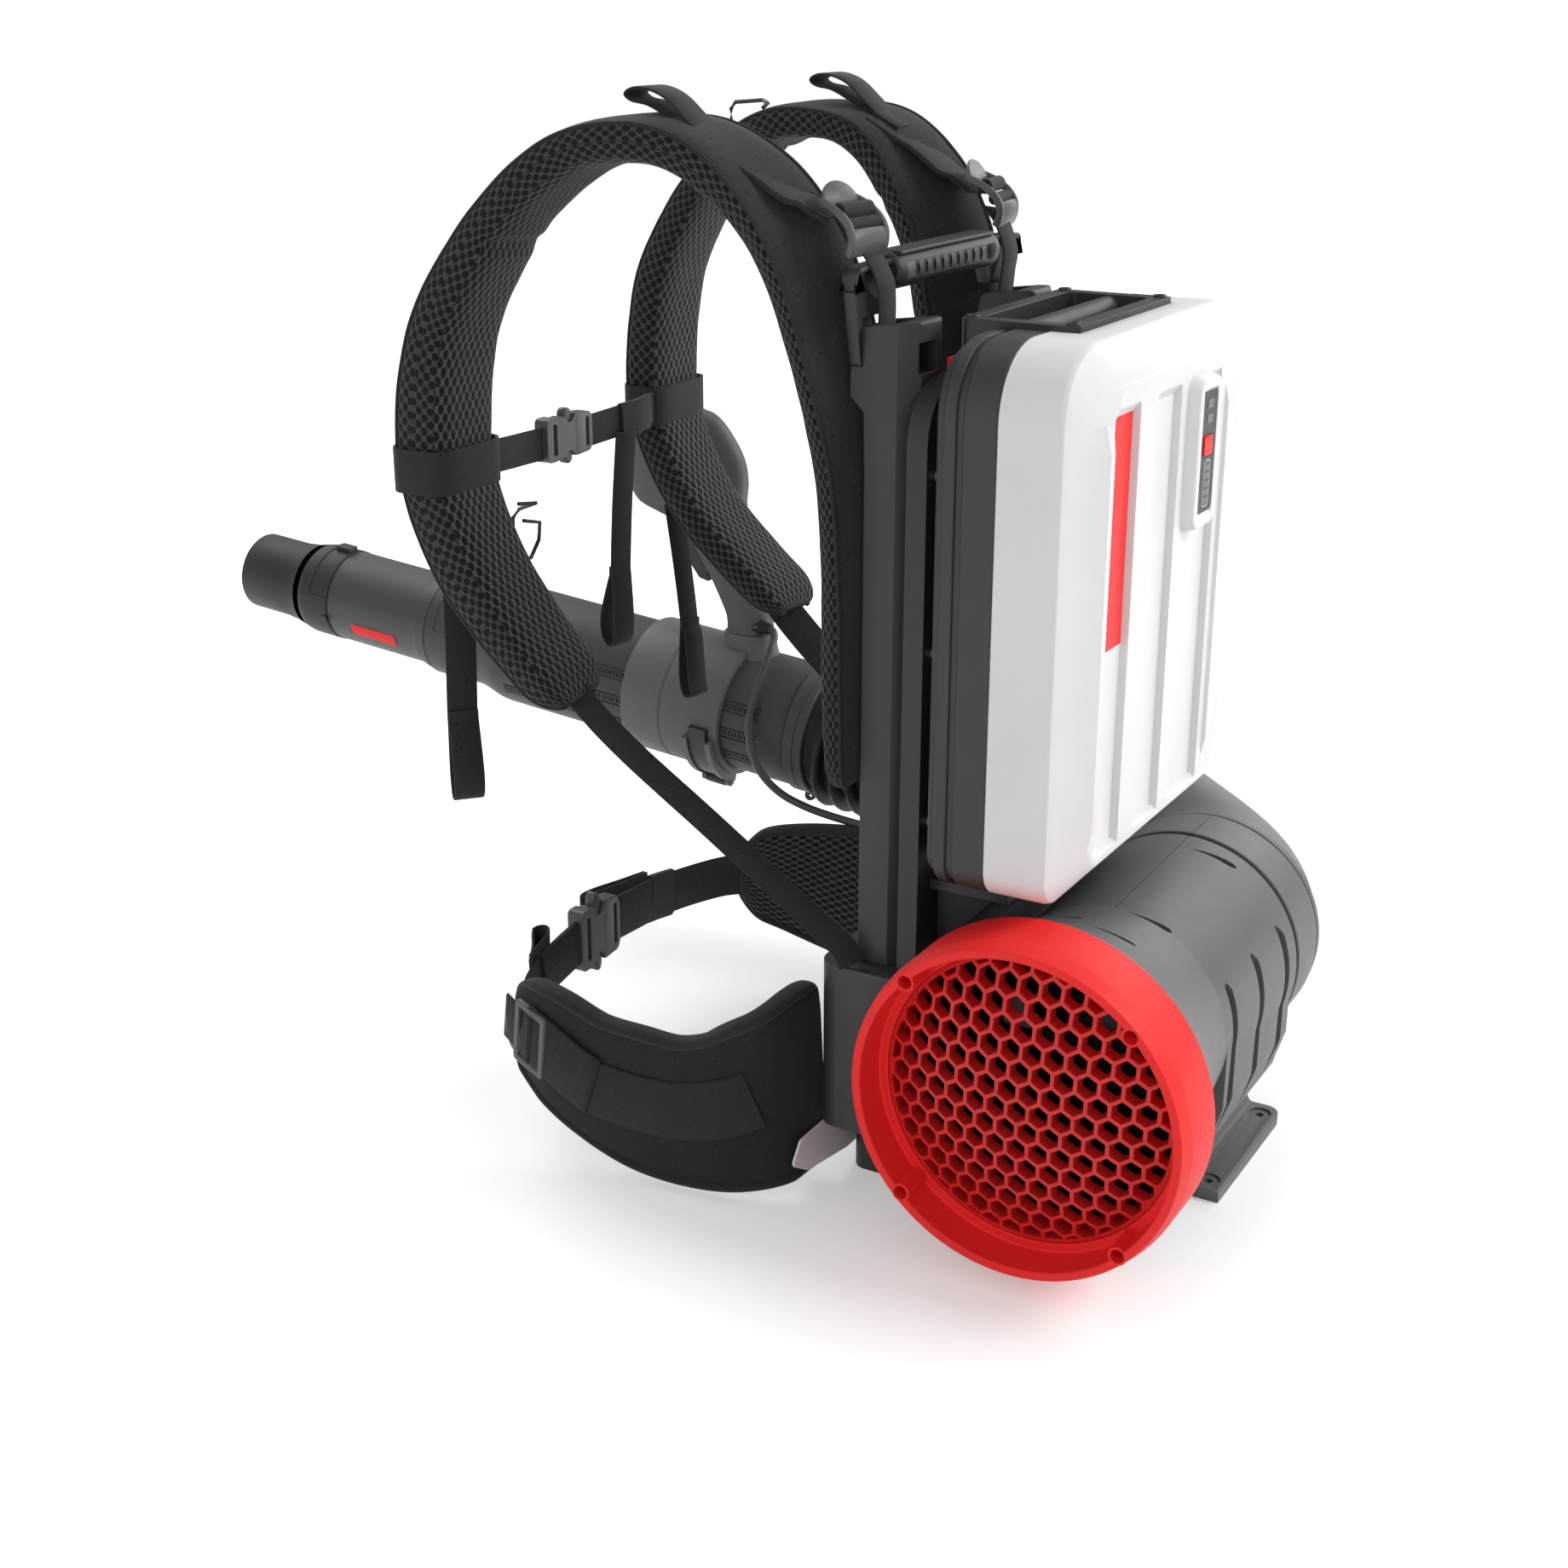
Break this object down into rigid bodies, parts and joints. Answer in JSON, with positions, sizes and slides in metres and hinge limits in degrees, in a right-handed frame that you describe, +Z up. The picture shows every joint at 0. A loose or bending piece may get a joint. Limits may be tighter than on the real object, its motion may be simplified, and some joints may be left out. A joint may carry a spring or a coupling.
{
  "type": "backpack leaf blower",
  "caption": "Battery backpack leaf blower: padded harness on a rail frame, upright battery, side fan unit, and a swivelling ribbed elbow with blower tube and handle.",
  "frame": {"origin": "on the ground, in the middle plane of the back frame, straight below the fan axis", "axes": "+X to the wearer's right and along the fan axis, +Y the way the wearer faces and the tube blows, +Z up"},
  "size_m": [0.5089, 1.1692, 0.7651],
  "materials": {
    "black_plastic": "fine matt grain",
    "dark_plastic": "satin, light grain",
    "grey_plastic": "satin",
    "red_plastic": "semi gloss",
    "white_plastic": "satin gloss",
    "steel": "plain zinc",
    "black_wire": "powder coat",
    "rubber": "satin",
    "pad_fabric": "woven cover with spacer mesh",
    "webbing": "flat woven webbing",
    "copper": "windings and laminations",
    "circuit": "satin",
    "cells": "matt sleeve"
  },
  "bodies": {
    "frame": {"base_housing": "dark_plastic", "base_feet": "black_plastic", "left_rail": "dark_plastic", "right_rail": "dark_plastic", "dock_plate": "black_plastic", "dock_connector": "black_plastic", "controller_board": "circuit", "carry_handle": "black_plastic", "frame_screws": "steel", "intake_ring": "red_plastic", "intake_grille": "red_plastic", "ring_screws": "steel", "housing_rear_half": "grey_plastic", "housing_front_half": "grey_plastic", "rear_foot": "dark_plastic", "stator_duct": "dark_plastic", "motor_stator": "copper", "motor_bearings": "steel", "control_cable": "rubber", "latch_spring": "steel", "left_shoulder_pad": "pad_fabric", "right_shoulder_pad": "pad_fabric", "load_lifter_webbing": "webbing", "lifter_buckles": "black_plastic", "left_sternum_strap": "webbing", "right_sternum_strap": "webbing", "sternum_buckle_socket": "black_plastic", "sternum_buckle_plug": "black_plastic", "lower_strap_webbing": "webbing", "left_hip_pad": "pad_fabric", "right_hip_pad": "pad_fabric", "hip_stiffener": "white_plastic", "left_hip_webbing": "webbing", "right_hip_webbing": "webbing", "hip_buckle_socket": "black_plastic", "hip_buckle_plug": "black_plastic", "wire_hooks": "black_wire"},
    "fan": {"impeller": "black_plastic", "motor_rotor": "steel"},
    "battery": {"battery_rear_shell": "white_plastic", "battery_front_shell": "dark_plastic", "battery_tray": "black_plastic", "cell_block": "cells", "display_bezel": "white_plastic"},
    "display_key": {"display_button": "red_plastic"},
    "latch": {"battery_latch": "red_plastic"},
    "elbow": {"elbow": "grey_plastic", "bellows": "rubber", "bellows_rear_clamp": "black_plastic"},
    "tube": {"bellows_front_clamp": "black_plastic", "main_tube": "dark_plastic"},
    "extension": {"extension_tube": "dark_plastic"},
    "nozzle": {"nozzle": "dark_plastic"},
    "handle": {"handle_carriage": "dark_plastic", "left_grip_shell": "grey_plastic", "right_grip_shell": "grey_plastic"},
    "lever": {"clamp_lever": "black_plastic"},
    "trigger": {"throttle_trigger": "black_plastic"},
    "cruise": {"cruise_lever": "black_plastic"},
    "stop": {"stop_switch": "red_plastic"}
  },
  "joints": [
    {"name": "fan_spin", "type": "hinge", "parent": "frame", "child": "fan", "pos_m": [0, 0, 0.136], "axis": [1, 0, 0], "continuous": true},
    {"name": "battery_slide", "type": "slide", "parent": "frame", "child": "battery", "axis": [0, 0, 1], "range_m": [0, 0.4]},
    {"name": "display_press", "type": "slide", "parent": "battery", "child": "display_key", "axis": [0, 1, 0], "range_m": [0, 0.0015], "stiffness_N_per_m": 600, "springref_m": -0.001},
    {"name": "latch_press", "type": "slide", "parent": "frame", "child": "latch", "axis": [0, 0, -1], "range_m": [0, 0.006], "stiffness_N_per_m": 900, "springref_m": -0.003, "deforming": ["latch_spring"]},
    {"name": "elbow_swivel", "type": "hinge", "parent": "frame", "child": "elbow", "pos_m": [0.19, 0, 0.136], "axis": [1, 0, 0], "range_deg": [-20, 45], "deforming": ["control_cable"]},
    {"name": "tube_swing", "type": "hinge", "parent": "elbow", "child": "tube", "pos_m": [0.252, 0.25, 0.2], "axis": [0, 0, 1], "range_deg": [-20, 3], "stiffness_Nm_per_rad": 12, "deforming": ["bellows", "control_cable"]},
    {"name": "extension_twist", "type": "hinge", "parent": "tube", "child": "extension", "pos_m": [0.252, 0.78878, 0.24859], "axis": [0, 0.9958, 0.0917], "range_deg": [0, 20]},
    {"name": "nozzle_twist", "type": "hinge", "parent": "extension", "child": "nozzle", "pos_m": [0.252, 0.9481, 0.26325], "axis": [0, 0.9958, 0.0917], "range_deg": [0, 20]},
    {"name": "handle_slide", "type": "slide", "parent": "tube", "child": "handle", "axis": [0, 0.9958, 0.0917], "range_m": [-0.03, 0.09], "deforming": ["control_cable"]},
    {"name": "lever_swing", "type": "hinge", "parent": "handle", "child": "lever", "pos_m": [0.23037, 0.48619, 0.15387], "axis": [0, 0.9958, 0.0917], "range_deg": [-100, 0]},
    {"name": "throttle_pull", "type": "hinge", "parent": "handle", "child": "trigger", "pos_m": [0.252, 0.531, 0.396], "axis": [1, 0, 0], "range_deg": [-14, 0], "stiffness_Nm_per_rad": 0.8, "springref_deg": 14.32},
    {"name": "cruise_turn", "type": "hinge", "parent": "handle", "child": "cruise", "pos_m": [0.235, 0.54, 0.44], "axis": [-1, 0, 0], "range_deg": [0, 60]},
    {"name": "stop_press", "type": "slide", "parent": "handle", "child": "stop", "axis": [0, 0, -1], "range_m": [0, 0.0025], "stiffness_N_per_m": 500, "springref_m": -0.001}
  ]
}
